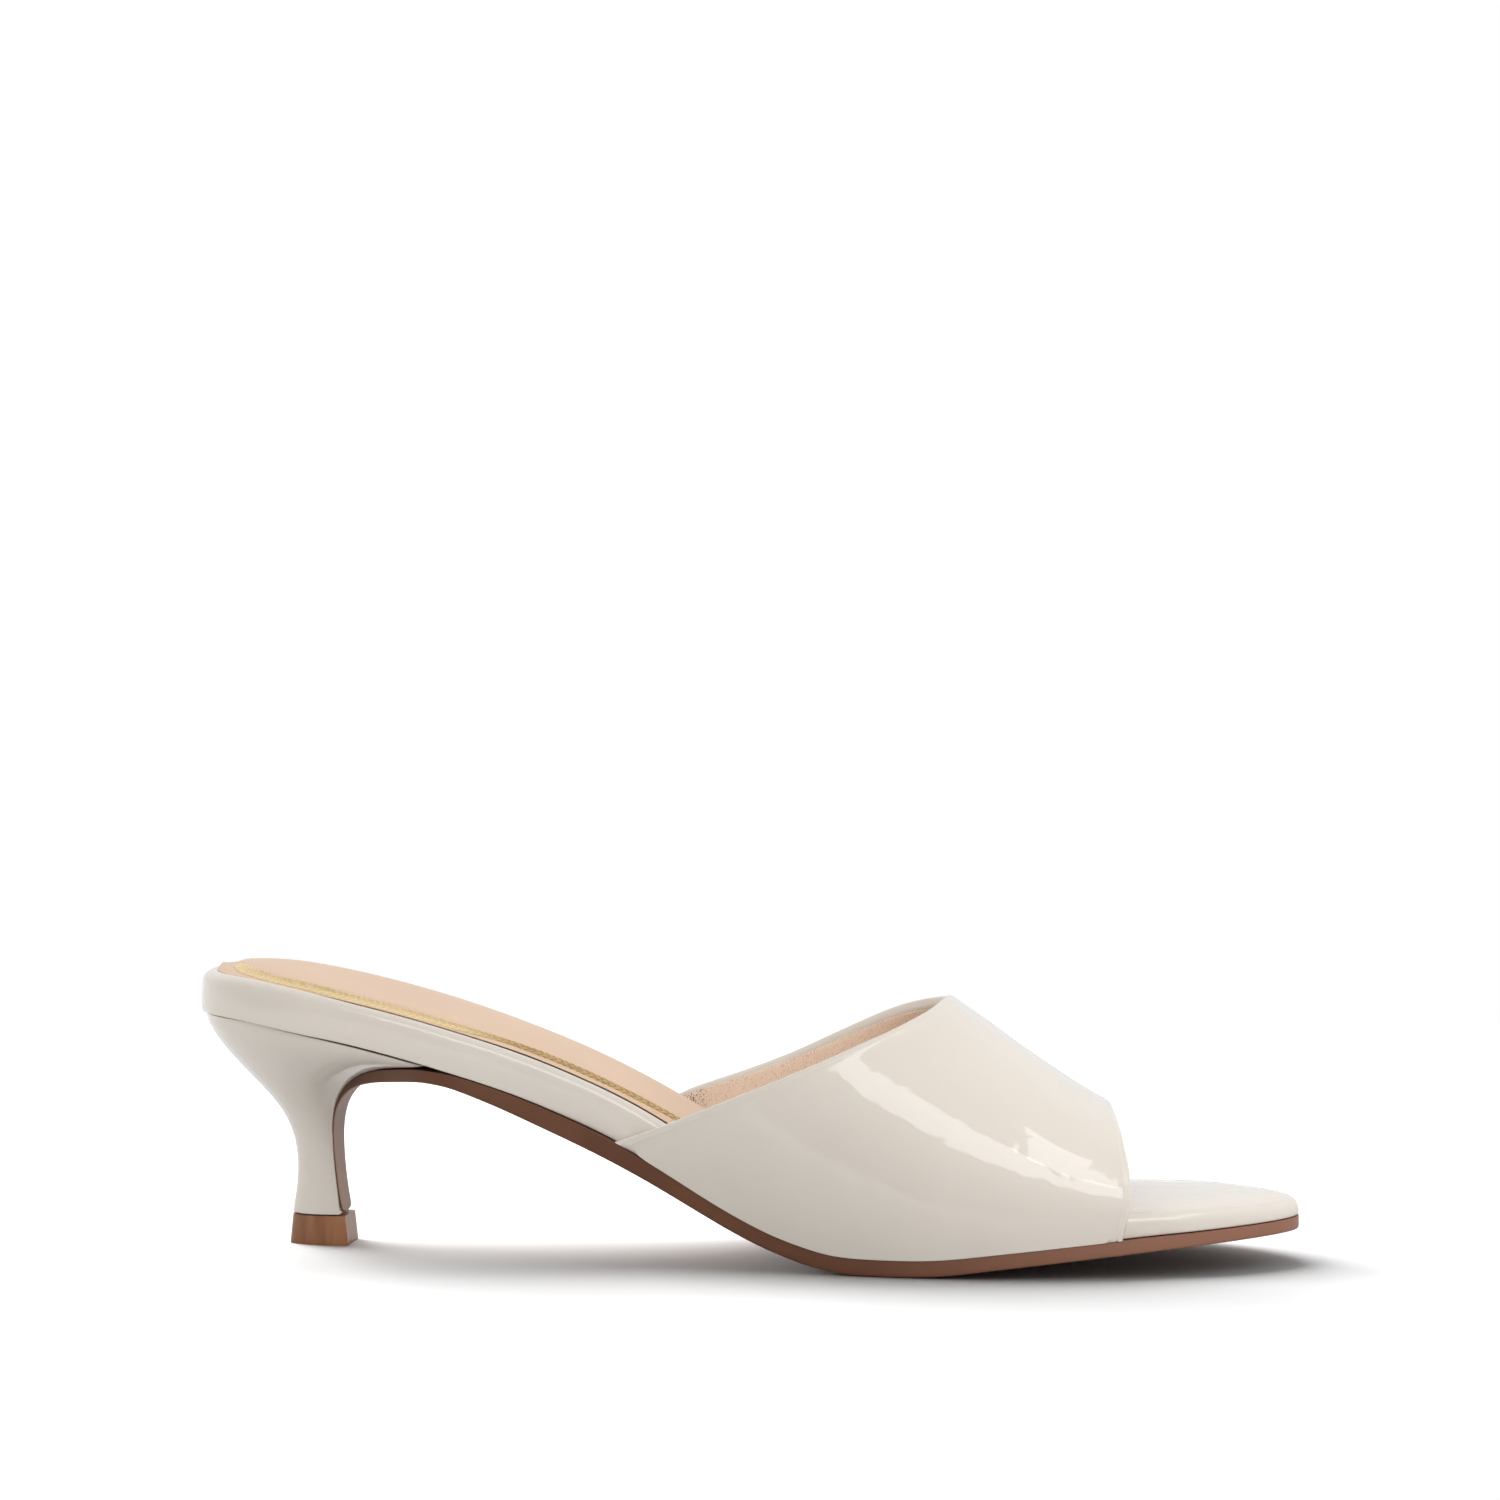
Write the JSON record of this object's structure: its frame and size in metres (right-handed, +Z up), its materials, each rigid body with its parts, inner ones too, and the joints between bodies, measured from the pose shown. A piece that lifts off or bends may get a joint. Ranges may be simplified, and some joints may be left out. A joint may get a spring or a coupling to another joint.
{
  "type": "heeled open-toe slide shoe",
  "caption": "Backless heeled slide for the right foot: patent band over the forefoot, open almond toe, padded footbed and a low waisted heel.",
  "frame": {"origin": "on the floor under the middle of the shoe's box", "axes": "+X towards the toe, +Y towards the inner side of the foot, +Z up"},
  "size_m": [0.246, 0.0756, 0.0637],
  "materials": {
    "patent": "cream patent, mirror-like clear coat over fine leather",
    "sock": "pale tan sock leather, soft matt",
    "lining": "pale tan fine woven lining",
    "foil": "gold foil line pressed into the sock",
    "sole": "brown sole with a polished edge",
    "tip": "brown moulded wear tip, glossy"
  },
  "bodies": {
    "root": {"upper": "patent", "insole": "sock", "footbed": "patent", "outsole": "sole", "heel": "patent", "top_piece": "tip"}
  },
  "joints": []
}
